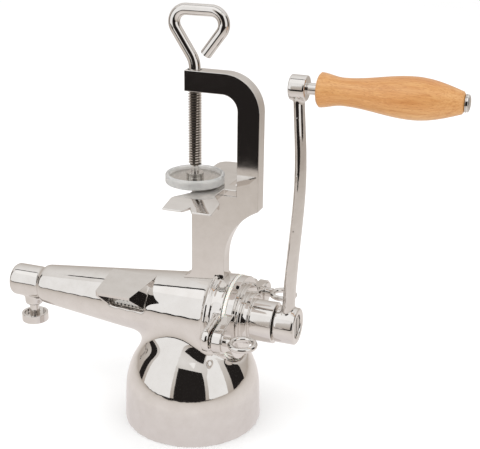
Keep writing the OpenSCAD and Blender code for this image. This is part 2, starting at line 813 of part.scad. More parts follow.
barrel_casting();
hopper_bell();
juice_chute();
strainer();
cover_gasket();
hub_cover();
hub_bush_inner();
hub_bush_outer();
thrust_washer();
clamp_frame();
jaw_plate();
eye_washer_front();
eye_screw_front();
eye_washer_rear();
eye_screw_rear();
pressure_plug();
pressure_screw();
clear_pad();
pad_disc();
clamp_screw();
swivel_rivet();
auger();
auger_shaft();
drive_key();
crank_arm();
crank_end_screw();
grip_bolt();
grip_spacer();
grip_washer();
grip_nut();
wood_grip();
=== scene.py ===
"""A hand-cranked stainless auger juicer with a table clamp, standing upside down on its hopper.

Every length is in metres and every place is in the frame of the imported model: the origin is the
centre of the hopper mouth on the floor, +X runs to the crank, -Y faces the juice window, +Z is up.
"""

import json
import math

import bpy
from bpy.props import FloatProperty, FloatVectorProperty, IntProperty, PointerProperty, StringProperty
from mathutils import Matrix, Vector


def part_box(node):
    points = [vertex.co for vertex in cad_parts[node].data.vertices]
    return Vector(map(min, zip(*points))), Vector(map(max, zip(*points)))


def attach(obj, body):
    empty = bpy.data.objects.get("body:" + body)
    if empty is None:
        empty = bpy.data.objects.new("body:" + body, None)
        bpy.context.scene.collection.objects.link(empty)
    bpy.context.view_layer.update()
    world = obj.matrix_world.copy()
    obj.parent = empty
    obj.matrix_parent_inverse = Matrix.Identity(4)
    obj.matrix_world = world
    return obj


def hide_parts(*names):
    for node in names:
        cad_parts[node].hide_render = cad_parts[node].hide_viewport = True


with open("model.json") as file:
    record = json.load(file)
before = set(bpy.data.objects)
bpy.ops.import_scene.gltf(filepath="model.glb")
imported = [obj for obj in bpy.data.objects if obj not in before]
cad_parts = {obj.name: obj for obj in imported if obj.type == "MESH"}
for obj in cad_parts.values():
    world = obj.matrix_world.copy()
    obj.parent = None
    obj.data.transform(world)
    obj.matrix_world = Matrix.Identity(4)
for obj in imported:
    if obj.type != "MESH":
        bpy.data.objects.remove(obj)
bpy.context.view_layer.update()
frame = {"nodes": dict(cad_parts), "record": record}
BODY_OF = {node: body for body, nodes in frame["record"]["behaviour"]["bodies"].items()
           for node in nodes}

bl_info = {
    "name": "Hand-Cranked Auger Juicer",
    "version": (1, 0, 0),
    "blender": (4, 5, 0),
    "location": "View3D > Sidebar > Juicer",
    "description": "Models and finishes a polished steel auger juicer around its packed frame",
    "category": "Object",
}

MM = 0.001
MERGE = 0.002 * MM
FLAT_ANGLE = math.radians(0.4)
SMOOTH_ANGLE = math.radians(38)
EASED_ANGLE = math.radians(32)
EASED_SHADING = math.radians(50)
SKIN_SHADING = math.radians(60)
THREAD_SHADING = math.radians(25)
NORMAL_WEIGHT = 60
PASS_STRENGTH = 0.5
CUP_STEPS = 96
BAR_STEPS = 40
LOW_BOSS_STEPS = 72
TOP_BOSS_STEPS = 64
NUT_STEPS = 64
DOME_STEPS = 10
FULL_TURN = 2 * math.pi


# ---------- sizes and colours that a user may change ----------
def length(name, description, default):
    """A length property in metres."""
    return FloatProperty(name=name, description=description, default=default, min=0.0,
                         unit="LENGTH", subtype="DISTANCE", precision=5)


def colour(name, description, default):
    """An sRGB hex colour property."""
    return StringProperty(name=name, description=description, default=default)


def count(name, description, default):
    """A whole number property."""
    return IntProperty(name=name, description=description, default=default)


class CastingSettings(bpy.types.PropertyGroup):
    """How the hand-finished castings are blended."""
    body_cell: length("Body cell", "Cell of the mesh that blends barrel and hopper", 1.25 * MM)
    arm_cell: length("Arm cell", "Cell of the mesh that blends the arm into its bosses",
                     0.62 * MM)
    body_passes: count("Body passes", "Polishing passes over the body", 8)
    arm_passes: count("Arm passes", "Polishing passes over the arm", 10)
    fillet_passes: count("Fillet passes", "Extra passes where the hopper meets the barrel", 700)
    fillet_reach: length("Fillet reach", "How far the fillet spreads from the join", 22.0 * MM)
    boss_fillet_passes: count("Boss fillet passes", "Extra passes where the arm meets its bosses",
                              12)


class EdgeSettings(bpy.types.PropertyGroup):
    """How far the cut and turned pieces have their edges eased."""
    frame_edge: length("Frame edge", "Rounding along the clamp frame", 1.9 * MM)
    plate_edge: length("Plate edge", "Rounding along the jaw plate", 0.9 * MM)
    turned_edge: length("Turned edge", "Rounding of turned steel", 0.5 * MM)
    cover_edge: length("Cover edge", "Rounding of the bearing cover", 0.9 * MM)
    chute_edge: length("Chute edge", "Rounding of the juice chute's rims", 0.6 * MM)
    small_edge: length("Small edge", "Rounding of washers, bushes and screws", 0.22 * MM)
    rounding: count("Rounding steps", "Faces across one eased edge", 4)


class ThreadSettings(bpy.types.PropertyGroup):
    """The rolled trapezoidal thread of the clamp screw."""
    pitch: length("Pitch", "Distance from one thread crest to the next", 2.0 * MM)
    depth: length("Depth", "From the crest to the root", 1.2 * MM)
    crest: length("Crest radius", "Radius of the screw over its thread", 5.0 * MM)
    relief: length("Relief", "How far the crests stay inside the nominal radius", 0.1 * MM)
    seat: length("Seat", "How far the thread sinks into the rod", 0.05 * MM)
    neck: length("Neck", "Plain neck between the pad's boss and the thread", 6.0 * MM)
    cover: length("Cover", "How far below the frame's top the thread ends", 1.0 * MM)
    flank: FloatProperty(name="Flank", description="Share of the pitch in one flank", default=0.12)
    land: FloatProperty(name="Land", description="Share of the pitch in the crest", default=0.38)
    steps: count("Steps", "Faces round one turn", 28)


class CrankSettings(bpy.types.PropertyGroup):
    """The forged crank arm."""
    low_boss: length("Lower boss", "Length of the boss on the shaft", 16.4 * MM)
    low_thick: length("Thickness below", "Thickness of the bar at the shaft", 9.0 * MM)
    top_thick: length("Thickness above", "Thickness of the bar at the grip", 7.6 * MM)
    low_wide: length("Width below", "Width of the bar at the shaft", 17.0 * MM)
    top_wide: length("Width above", "Width of the bar at the grip", 12.0 * MM)
    lean: length("Lean", "How far the grip end leans outwards", 3.0 * MM)
    bow: length("Bow", "How far the bar bows outwards", 4.0 * MM)
    fillet: length("Fillet", "Reach of the fillets at the bosses", 6.0 * MM)
    rings: count("Rings", "Rings along the bar", 28)


class GripSettings(bpy.types.PropertyGroup):
    """The turned beech grip."""
    steps: count("Steps", "Faces round the grip", 96)
    rings: count("Rings", "Rings along the grip", 72)
    end_round: length("End rounding", "Rounding of the grip's ends", 1.6 * MM)


class FinishSettings(bpy.types.PropertyGroup):
    """Colours of the finishes, as sRGB hex values."""
    steel: colour("Steel", "Polished stainless steel", "#E7E4E1")
    steel_haze: colour("Steel haze", "Where the polish is hazy", "#DFDBD7")
    satin: colour("Satin steel", "Perforated and turned steel", "#D2CFCA")
    satin_line: colour("Satin lines", "Drawn lines in satin steel", "#BFBBB6")
    # The two thread-root colours are painted shade: they darken the roots between the turns, where
    # shade falls, and vary at random between them.
    root: colour("Thread roots", "Dark roots of the thread", "#5A534C")
    root_light: colour("Thread roots, lighter", "Lighter patches of the painted root shade", "#7C746C")
    beech_light: colour("Beech", "Light wood of the grip", "#D8A86F")
    beech_dark: colour("Beech grain", "Darker grain lines", "#C79055")
    beech_shade: colour("Beech shade", "Broad darker bands", "#F1DCBF")
    beech_fleck: colour("Beech flecks", "Short dark flecks", "#C9A27A")
    polymer: colour("Clear polymer", "Milky clear pad", "#FBFBFA")
    polymer_cloud: colour("Clouds", "Flow clouds in the pad", "#F1F1EF")
    silicone: colour("White polymer", "Gasket and bushes", "#F3F1EA")
    silicone_mottle: colour("Mottling", "Mottling of the white polymer", "#E6E3DA")
    floor: colour("Floor", "Pale floor and backdrop", "#FFFFFF")
    floor_fibre: colour("Floor fibres", "Fibres in the paper", "#FDFDFD")
    # The near, mid, far and horizon colours paint light onto the floor as the steel sees it: a glow,
    # brightest by the piece and darker with distance. Horizon also begins the room in the world.
    near: colour("Near floor", "Near floor as the steel mirrors it", "#E7E1E0")
    mid: colour("Middle floor", "Floor a hand's breadth away, mirrored", "#F0EAE7")
    far: colour("Far floor", "Floor at half a metre, mirrored", "#DAD3CD")
    horizon: colour("Horizon", "Where floor and room meet, mirrored", "#BEB5AD")
    wall: colour("Wall", "Wall of the room, mirrored", "#C6BFB8")
    high: colour("High wall", "Top of the wall, mirrored", "#E4E1DE")
    ceiling: colour("Ceiling", "Ceiling, mirrored", "#F6F5F4")
    glow: colour("Softbox", "Face of a softbox", "#FFFFFF")
    dark: colour("Flag", "Face of a dark flag", "#262322")


class StageSettings(bpy.types.PropertyGroup):
    """Camera and light."""
    eye: FloatVectorProperty(name="Camera", description="Camera position", size=3,
                             default=(0.286, -0.6715, 0.4355), unit="LENGTH", subtype="XYZ")
    aim: FloatVectorProperty(name="Aim", description="Point the camera looks at", size=3,
                             default=(0.039, 0.0, 0.1694), unit="LENGTH", subtype="XYZ")
    roll: FloatProperty(name="Roll", description="Turn of the camera about its line of sight",
                        default=math.radians(0.77), unit="ROTATION", subtype="ANGLE")
    lens: FloatProperty(name="Lens", description="Focal length in millimetres", default=76.0)
    sensor: FloatProperty(name="Sensor", description="Sensor width in millimetres", default=36.0)


GROUPS = {
    "juicer_casting": CastingSettings,
    "juicer_edges": EdgeSettings,
    "juicer_thread": ThreadSettings,
    "juicer_crank": CrankSettings,
    "juicer_grip": GripSettings,
    "juicer_finish": FinishSettings,
    "juicer_stage": StageSettings,
}


# ---------- working by hand ----------
def deselect():
    """Leaves edit mode and lets go of everything."""
    if bpy.context.object and bpy.context.object.mode != "OBJECT":
        bpy.ops.object.mode_set(mode="OBJECT")
    bpy.ops.object.select_all(action="DESELECT")


def pick(piece):
    """Makes one object the selected and active one."""
    deselect()
    bpy.context.view_layer.objects.active = piece
    piece.select_set(True)


def edit(piece, mode="VERT"):
    """Opens a piece in edit mode with nothing selected."""
    pick(piece)
    bpy.ops.object.mode_set(mode="EDIT")
    bpy.ops.mesh.select_mode(type=mode)
    bpy.ops.mesh.select_all(action="DESELECT")


def select_where(piece, test):
    """In edit mode, selects the vertices whose place passes a test."""
    bpy.ops.object.mode_set(mode="OBJECT")
    for vertex in piece.data.vertices:
        vertex.select = test(vertex.co)
    bpy.ops.object.mode_set(mode="EDIT")


def modify(piece, kind, **settings):
    """Adds a modifier with its settings and applies it."""
    pick(piece)
    modifier = piece.modifiers.new(kind.title(), kind)
    for name, value in settings.items():
        setattr(modifier, name, value)
    bpy.ops.object.modifier_apply(modifier=modifier.name)


def tidy_mesh(piece):
    """Closes the seams and poles of a spun mesh and points its faces outwards."""
    edit(piece)
    bpy.ops.mesh.select_all(action="SELECT")
    bpy.ops.mesh.remove_doubles(threshold=MERGE)
    bpy.ops.mesh.normals_make_consistent(inside=False)
    bpy.ops.object.mode_set(mode="OBJECT")


def smooth(piece, angle=SMOOTH_ANGLE):
    """Smooth shading across all but the sharp edges."""
    pick(piece)
    bpy.ops.object.shade_smooth_by_angle(angle=angle)


def settle(piece):
    """Puts the piece's place in its mesh, so that its object sits at the origin."""
    pick(piece)
    bpy.ops.object.transform_apply(location=True, rotation=True, scale=True)


def copy_of(name, *nodes):
    """One new piece from merged copies of CAD nodes, with each flat in one face."""
    parts = []
    for node in nodes:
        part = bpy.data.objects.new(name, frame["nodes"][node].data.copy())
        bpy.context.scene.collection.objects.link(part)
        part.data.materials.clear()
        edit(part)
        bpy.ops.mesh.select_all(action="SELECT")
        bpy.ops.mesh.customdata_custom_splitnormals_clear()
        bpy.ops.mesh.remove_doubles(threshold=MERGE)
        bpy.ops.mesh.dissolve_limited(angle_limit=FLAT_ANGLE)
        bpy.ops.object.mode_set(mode="OBJECT")
        parts.append(part)
    pick(parts[0])
    for part in parts[1:]:
        part.select_set(True)
    if len(parts) > 1:
        bpy.ops.object.join()
    return parts[0]


def eased(name, node, width, steps):
    """A copy of a CAD node whose sharp edges are rounded over."""
    piece = copy_of(name, node)
    modify(piece, "BEVEL", width=width, segments=steps, limit_method="ANGLE",
           angle_limit=EASED_ANGLE, use_clamp_overlap=True, miter_outer="MITER_ARC")
    smooth(piece, EASED_SHADING)
    modify(piece, "WEIGHTED_NORMAL", keep_sharp=True, weight=NORMAL_WEIGHT)
    return piece


def blend_skin(piece, cell, passes, closeness, fillet_passes):
    """Runs a piece's shells into one skin, fills its joins with fillets and polishes it all.

    closeness gives, for a place, how near it is to a join, from 0 to 1.
    """
    modify(piece, "REMESH", mode="VOXEL", voxel_size=cell, adaptivity=0.0, use_smooth_shade=True)
    joins = piece.vertex_groups.new(name="joins")
    for vertex in piece.data.vertices:
        weight = closeness(vertex.co)
        if weight > 0.0:
            joins.add([vertex.index], weight, "REPLACE")
    modify(piece, "SMOOTH", factor=PASS_STRENGTH, iterations=fillet_passes,
           vertex_group="joins")
    piece.vertex_groups.clear()
    modify(piece, "SMOOTH", factor=PASS_STRENGTH, iterations=passes)
    smooth(piece, SKIN_SHADING)


def fade(distance, reach):
    """1 at no distance, falling smoothly to 0 at the reach."""
    share = min(1.0, max(0.0, distance / reach))
    return 1.0 - share * share * (3.0 - 2.0 * share)


def outline(name, points):
    """An open line through points, drawn by extruding one corner."""
    deselect()
    bpy.ops.mesh.primitive_plane_add(size=MM, location=(0.0, 0.0, 0.0))
    piece = bpy.context.object
    piece.name = name
    piece.data.name = name
    edit(piece)
    bpy.ops.object.mode_set(mode="OBJECT")
    for vertex in piece.data.vertices:
        vertex.select = vertex.index > 0
    bpy.ops.object.mode_set(mode="EDIT")
    bpy.ops.mesh.delete(type="VERT")
    bpy.ops.mesh.select_all(action="SELECT")
    bpy.ops.object.mode_set(mode="OBJECT")
    start = piece.data.vertices[0].co.copy()
    bpy.ops.object.mode_set(mode="EDIT")
    bpy.ops.transform.translate(value=Vector(points[0]) - start)
    for here, there in zip(points, points[1:]):
        bpy.ops.mesh.extrude_vertices_move(
            TRANSFORM_OT_translate={"value": Vector(there) - Vector(here)})
    bpy.ops.object.mode_set(mode="OBJECT")
    return piece


def turned(name, points, centre, axis, steps):
    """A piece turned on a lathe: the outline spun once round an axis."""
    piece = outline(name, points)
    edit(piece)
    bpy.ops.mesh.select_all(action="SELECT")
    bpy.ops.mesh.spin(steps=steps, angle=FULL_TURN, center=centre, axis=axis)
    bpy.ops.object.mode_set(mode="OBJECT")
    tidy_mesh(piece)
    return piece


def arc(centre, radius, start, stop, steps):
    """Points (across, along) on an arc, angles in degrees."""
    return [(centre[0] + radius * math.cos(math.radians(start + (stop - start) * i / steps)),
             centre[1] + radius * math.sin(math.radians(start + (stop - start) * i / steps)))
            for i in range(steps + 1)]


def hand_over(piece, body, material, *nodes, slot=None):
    """The finished piece rides on its body, takes its finish and stands for its CAD nodes."""
    settle(piece)
    piece.data.materials.clear()
    piece.data.materials.append(material)
    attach(piece, body)
    if nodes:
        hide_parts(*nodes)


def repaint(node, material):
    """Gives a CAD node that keeps its own shape a better finish."""
    part = frame["nodes"][node]
    part.data.materials.clear()
    part.data.materials.append(material)


# ---------- finishes ----------
def linear(colour, alpha=1.0):
    """An sRGB hex colour as linear RGBA."""
    channels = [int(colour[i:i + 2], 16) / 255 for i in (1, 3, 5)]
    return [c / 12.92 if c <= 0.04045 else ((c + 0.055) / 1.055) ** 2.4 for c in channels] + [alpha]


def fill(tree, node, values=None, links=None):
    """Sets a node's socket values and links the sockets that feed it."""
    for name, value in (values or {}).items():
        node.inputs[name].default_value = value
    for name, source in (links or {}).items():
        tree.links.new(source, node.inputs[name])


def add(tree, kind, values=None, links=None, stops=(), **modes):
    """Adds one node with its modes, its values and links and, for a ramp, its colour stops."""
    made = tree.nodes.new(kind)
    for name, value in modes.items():
        setattr(made, name, value)
    fill(tree, made, values, links)
    for _ in stops[2:]:
        made.color_ramp.elements.new(0.5)
    for place, (position, colour) in enumerate(stops):
        made.color_ramp.elements[place].position = position
        made.color_ramp.elements[place].color = colour
    return made


def blank(name):
    """A new material, its tree, its shader and its object coordinates."""
    material = bpy.data.materials.new(name)
    material.use_nodes = True
    tree = material.node_tree
    shader = tree.nodes["Principled BSDF"]
    place = add(tree, "ShaderNodeTexCoord").outputs["Object"]
    return material, tree, shader, place


def polished_steel():
    """Cast stainless, hand polished on a mop.

    The mop leaves broad soft waves and a light haze that comes and goes, so reflections stay
    sharp but bend a little. The waves are 9 to 30 mm long and only microns deep.
    """
    material, tree, shader, place = blank("Polished stainless steel")
    waves = add(tree, "ShaderNodeTexNoise", {"Scale": 42.0, "Detail": 1.5, "Roughness": 0.4},
                {"Vector": place})
    haze = add(tree, "ShaderNodeTexNoise", {"Scale": 90.0, "Detail": 5.0, "Roughness": 0.6},
               {"Vector": place})
    roughness = add(tree, "ShaderNodeMapRange",
                    {"From Min": 0.35, "From Max": 0.7, "To Min": 0.03, "To Max": 0.065},
                    {"Value": haze.outputs["Fac"]})
    tone = add(tree, "ShaderNodeValToRGB", links={"Fac": haze.outputs["Fac"]},
               stops=[(0.3, linear(finish().steel)), (0.75, linear(finish().steel_haze))])
    bump = add(tree, "ShaderNodeBump", {"Strength": 0.14, "Distance": 0.35 * MM},
               {"Height": waves.outputs["Fac"]})
    fill(tree, shader, {"Metallic": 1.0},
         {"Base Color": tone.outputs["Color"], "Roughness": roughness.outputs["Result"],
          "Normal": bump.outputs["Normal"]})
    return material


def satin_steel():
    """Rolled and turned stainless with a fine brushed haze, lines drawn about 0.4 mm apart."""
    material, tree, shader, place = blank("Satin stainless steel")
    across = add(tree, "ShaderNodeMapping", {"Scale": (2200.0, 90.0, 90.0)}, {"Vector": place})
    lines = add(tree, "ShaderNodeTexNoise", {"Scale": 1.0, "Detail": 3.0, "Roughness": 0.6},
                {"Vector": across.outputs["Vector"]})
    tone = add(tree, "ShaderNodeValToRGB", links={"Fac": lines.outputs["Fac"]},
               stops=[(0.3, linear(finish().satin_line)), (0.7, linear(finish().satin))])
    roughness = add(tree, "ShaderNodeMapRange",
                    {"From Min": 0.3, "From Max": 0.7, "To Min": 0.16, "To Max": 0.28},
                    {"Value": lines.outputs["Fac"]})
    bump = add(tree, "ShaderNodeBump", {"Strength": 0.12, "Distance": 0.03 * MM},
               {"Height": lines.outputs["Fac"]})
    fill(tree, shader, {"Metallic": 1.0},
         {"Base Color": tone.outputs["Color"], "Roughness": roughness.outputs["Result"],
          "Normal": bump.outputs["Normal"]})
    return material


def beech():
    """Lacquered beech: straight pale grain along the grip with short darker flecks.

    Grain lines are about 1 mm apart and run 40 mm or more, flecks are 0.4 by 3 mm, and a thin
    clear lacquer lies over them.
    """
    material, tree, shader, place = blank("Lacquered beech")
    along = add(tree, "ShaderNodeMapping", {"Scale": (20.0, 780.0, 780.0)}, {"Vector": place})
    grain = add(tree, "ShaderNodeTexNoise", {"Scale": 1.0, "Detail": 4.0, "Roughness": 0.55,
                                             "Distortion": 0.4},
                {"Vector": along.outputs["Vector"]})
    fleck_place = add(tree, "ShaderNodeMapping", {"Scale": (300.0, 1900.0, 1900.0)},
                      {"Vector": place})
    flecks = add(tree, "ShaderNodeTexNoise", {"Scale": 1.0, "Detail": 1.0},
                 {"Vector": fleck_place.outputs["Vector"]})
    broad_place = add(tree, "ShaderNodeMapping", {"Scale": (9.0, 70.0, 70.0)}, {"Vector": place})
    broad = add(tree, "ShaderNodeTexNoise", {"Scale": 1.0, "Detail": 2.0},
                {"Vector": broad_place.outputs["Vector"]})
    lines = add(tree, "ShaderNodeValToRGB", links={"Fac": grain.outputs["Fac"]},
                stops=[(0.32, linear(finish().beech_dark)), (0.68, linear(finish().beech_light))])
    tint = add(tree, "ShaderNodeValToRGB", links={"Fac": broad.outputs["Fac"]},
               stops=[(0.3, linear(finish().beech_shade)), (0.7, linear("#FFFFFF"))])
    spots = add(tree, "ShaderNodeValToRGB", links={"Fac": flecks.outputs["Fac"]},
                stops=[(0.34, linear(finish().beech_fleck)), (0.42, linear("#FFFFFF"))])
    tinted = add(tree, "ShaderNodeMix", {"Factor": 1.0},
                 {"A": lines.outputs["Color"], "B": tint.outputs["Color"]},
                 data_type="RGBA", blend_type="MULTIPLY")
    flecked = add(tree, "ShaderNodeMix", {"Factor": 0.35},
                  {"A": tinted.outputs["Result"], "B": spots.outputs["Color"]},
                  data_type="RGBA", blend_type="MULTIPLY")
    bump = add(tree, "ShaderNodeBump", {"Strength": 0.15, "Distance": 0.05 * MM},
               {"Height": grain.outputs["Fac"]})
    roughness = add(tree, "ShaderNodeMapRange", {"To Min": 0.36, "To Max": 0.5},
                    {"Value": grain.outputs["Fac"]})
    fill(tree, shader,
         {"Coat Weight": 0.45, "Coat Roughness": 0.22, "Specular IOR Level": 0.4},
         {"Base Color": flecked.outputs["Result"], "Roughness": roughness.outputs["Result"],
          "Normal": bump.outputs["Normal"]})
    return material


def clear_polymer():
    """Moulded polyethylene: see-through but milky, with faint flow clouds from the mould."""
    material, tree, shader, place = blank("Milky clear polyethylene")
    clouds = add(tree, "ShaderNodeTexNoise", {"Scale": 260.0, "Detail": 3.0}, {"Vector": place})
    tone = add(tree, "ShaderNodeValToRGB", links={"Fac": clouds.outputs["Fac"]},
               stops=[(0.3, linear(finish().polymer)), (0.7, linear(finish().polymer_cloud))])
    roughness = add(tree, "ShaderNodeMapRange", {"To Min": 0.14, "To Max": 0.26},
                    {"Value": clouds.outputs["Fac"]})
    bump = add(tree, "ShaderNodeBump", {"Strength": 0.1, "Distance": 0.08 * MM},
               {"Height": clouds.outputs["Fac"]})
    fill(tree, shader, {"Transmission Weight": 0.62, "IOR": 1.5},
         {"Base Color": tone.outputs["Color"], "Roughness": roughness.outputs["Result"],
          "Normal": bump.outputs["Normal"]})
    return material


def white_polymer():
    """Moulded food-grade silicone and acetal: soft white, a little uneven, with a dull sheen."""
    material, tree, shader, place = blank("White food-grade polymer")
    mottling = add(tree, "ShaderNodeTexNoise", {"Scale": 320.0, "Detail": 3.0}, {"Vector": place})
    tone = add(tree, "ShaderNodeValToRGB", links={"Fac": mottling.outputs["Fac"]},
               stops=[(0.3, linear(finish().silicone)), (0.75, linear(finish().silicone_mottle))])
    roughness = add(tree, "ShaderNodeMapRange", {"To Min": 0.38, "To Max": 0.52},
                    {"Value": mottling.outputs["Fac"]})
    bump = add(tree, "ShaderNodeBump", {"Strength": 0.1, "Distance": 0.05 * MM},
               {"Height": mottling.outputs["Fac"]})
    fill(tree, shader, {"Subsurface Weight": 0.1, "Subsurface Scale": 1.0 * MM},
         {"Base Color": tone.outputs["Color"], "Roughness": roughness.outputs["Result"],
          "Normal": bump.outputs["Normal"]})
    return material


def painted_shade_root_steel():
    """The roots of the rolled thread: dull steel darkened with painted shade, standing in for the
    shade that falls between the turns.
    """
    material, tree, shader, place = blank("Thread roots in painted shade")
    streaks = add(tree, "ShaderNodeTexNoise", {"Scale": 700.0, "Detail": 3.0}, {"Vector": place})
    tone = add(tree, "ShaderNodeValToRGB", links={"Fac": streaks.outputs["Fac"]},
               stops=[(0.3, linear(finish().root)), (0.7, linear(finish().root_light))])
    roughness = add(tree, "ShaderNodeMapRange", {"To Min": 0.3, "To Max": 0.5},
                    {"Value": streaks.outputs["Fac"]})
    bump = add(tree, "ShaderNodeBump", {"Strength": 0.2, "Distance": 0.05 * MM},
               {"Height": streaks.outputs["Fac"]})
    fill(tree, shader, {"Metallic": 1.0},
         {"Base Color": tone.outputs["Color"], "Roughness": roughness.outputs["Result"],
          "Normal": bump.outputs["Normal"]})
    return material


MAKERS = {
    "polished": polished_steel,
    "root": painted_shade_root_steel,
    "satin": satin_steel,
    "beech": beech,
    "clear": clear_polymer,
    "white": white_polymer,
}
made_materials = {}


def material(kind):
    """The one material of each kind, made when it is first asked for."""
    if kind not in made_materials:
        made_materials[kind] = MAKERS[kind]()
    return made_materials[kind]


def finish():
    """The finish settings."""
    return bpy.context.scene.juicer_finish


# ---------- the pieces ----------
class JUICER_OT_body(bpy.types.Operator):
    """Blends barrel and hopper into one polished skin and adds the juice chute and strainer"""
    bl_idname = "juicer.body"
    bl_label = "Barrel, hopper and chute"

    def execute(self, context):
        casting = context.scene.juicer_casting
        edges = context.scene.juicer_edges
        nodes = ("barrel_casting", "hopper_bell")
        body = copy_of("barrel_and_hopper", *nodes)
        axis_z = (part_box("auger")[0][2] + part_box("auger")[1][2]) / 2
        barrel_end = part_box("barrel_casting")[1][0]
        mouth_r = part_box("hopper_bell")[1][0]
        cone_small, cone_large, cone_length = 16.0 * MM, 33.2 * MM, 167.0 * MM
        skirt_top, shoulder_top, shoulder_depth = 25.0 * MM, 80.0 * MM, 27.0 * MM
        flange_depth = 9.0 * MM
        half_wall = 1.5 * MM

        def off_barrel(place):
            """Distance outwards from the outside of the barrel cone."""
            share = (place.x - barrel_end + cone_length) / cone_length
            radius = cone_small + (cone_large - cone_small) * share
            return math.hypot(place.y, place.z - axis_z) - radius

        def off_hopper(place):
            """Distance from the outside of the hopper."""
            rise = max(0.0, place.z - skirt_top) / (shoulder_top - skirt_top)
            return abs(math.hypot(place.x, place.y) - mouth_r + shoulder_depth * rise**2)

        def closeness(place):
            off = off_barrel(place)
            in_bore = off < -half_wall
            if in_bore or place.x > barrel_end - flange_depth or place.z > axis_z:
                return 0.0
            return fade(max(abs(off), off_hopper(place)), casting.fillet_reach)

        blend_skin(body, casting.body_cell, casting.body_passes, closeness,
                   casting.fillet_passes)
        hand_over(body, "juicer_body", material("polished"), *nodes, slot="polished_steel")
        chute = eased("juice_chute_cast", "juice_chute", edges.chute_edge, edges.rounding)
        hand_over(chute, "juicer_body", material("polished"), "juice_chute",
                  slot="polished_steel")
        repaint("strainer", material("satin"))
        return {"FINISHED"}


class JUICER_OT_cover(bpy.types.Operator):
    """Models the bearing cover with its gasket, bushes and thrust washer"""
    bl_idname = "juicer.cover"
    bl_label = "Cover, gasket and bushes"

    def execute(self, context):
        edges = context.scene.juicer_edges
        cover = eased("bearing_cover", "hub_cover", edges.cover_edge, edges.rounding)
        hand_over(cover, "juicer_body", material("polished"), "hub_cover", slot="polished_steel")
        for node, width in (("cover_gasket", edges.turned_edge),
                            ("hub_bush_inner", edges.small_edge),
                            ("hub_bush_outer", edges.small_edge),
                            ("thrust_washer", edges.small_edge)):
            piece = eased(node + "_moulded", node, width, edges.rounding)
            hand_over(piece, BODY_OF[node], material("white"), node,
                      slot="white_plastic")
        return {"FINISHED"}


class JUICER_OT_eye_screws(bpy.types.Operator):
    """Models the two eye screws and their washers"""
    bl_idname = "juicer.eye_screws"
    bl_label = "Eye screws"

    def execute(self, context):
        edges = context.scene.juicer_edges
        for node in ("eye_screw_front", "eye_screw_rear", "eye_washer_front", "eye_washer_rear"):
            piece = eased(node + "_polished", node, edges.small_edge, edges.rounding)
            hand_over(piece, BODY_OF[node], material("polished"), node,
                      slot="polished_steel")
        return {"FINISHED"}


class JUICER_OT_throttle(bpy.types.Operator):
    """Models the pressure screw under the nozzle and its soft plug"""
    bl_idname = "juicer.throttle"
    bl_label = "Pressure screw"

    def execute(self, context):
        edges = context.scene.juicer_edges
        knob = eased("pressure_knob", "pressure_screw", edges.turned_edge, edges.rounding)
        hand_over(knob, BODY_OF["pressure_screw"], material("polished"),
                  "pressure_screw", slot="polished_steel")
        plug = eased("pressure_plug_moulded", "pressure_plug", edges.small_edge, edges.rounding)
        hand_over(plug, BODY_OF["pressure_plug"], material("white"),
                  "pressure_plug", slot="white_plastic")
        return {"FINISHED"}


class JUICER_OT_clamp_frame(bpy.types.Operator):
    """Models the bent clamp frame and the jaw plate that it carries"""
    bl_idname = "juicer.clamp_frame"
    bl_label = "Clamp frame and jaw"

    def execute(self, context):
        edges = context.scene.juicer_edges
        post = eased("clamp_frame_polished", "clamp_frame", edges.frame_edge, edges.rounding)
        hand_over(post, "juicer_body", material("polished"), "clamp_frame", slot="polished_steel")
        jaw = eased("jaw_plate_polished", "jaw_plate", edges.plate_edge, edges.rounding)
        hand_over(jaw, "juicer_body", material("polished"), "jaw_plate", slot="polished_steel")
        return {"FINISHED"}


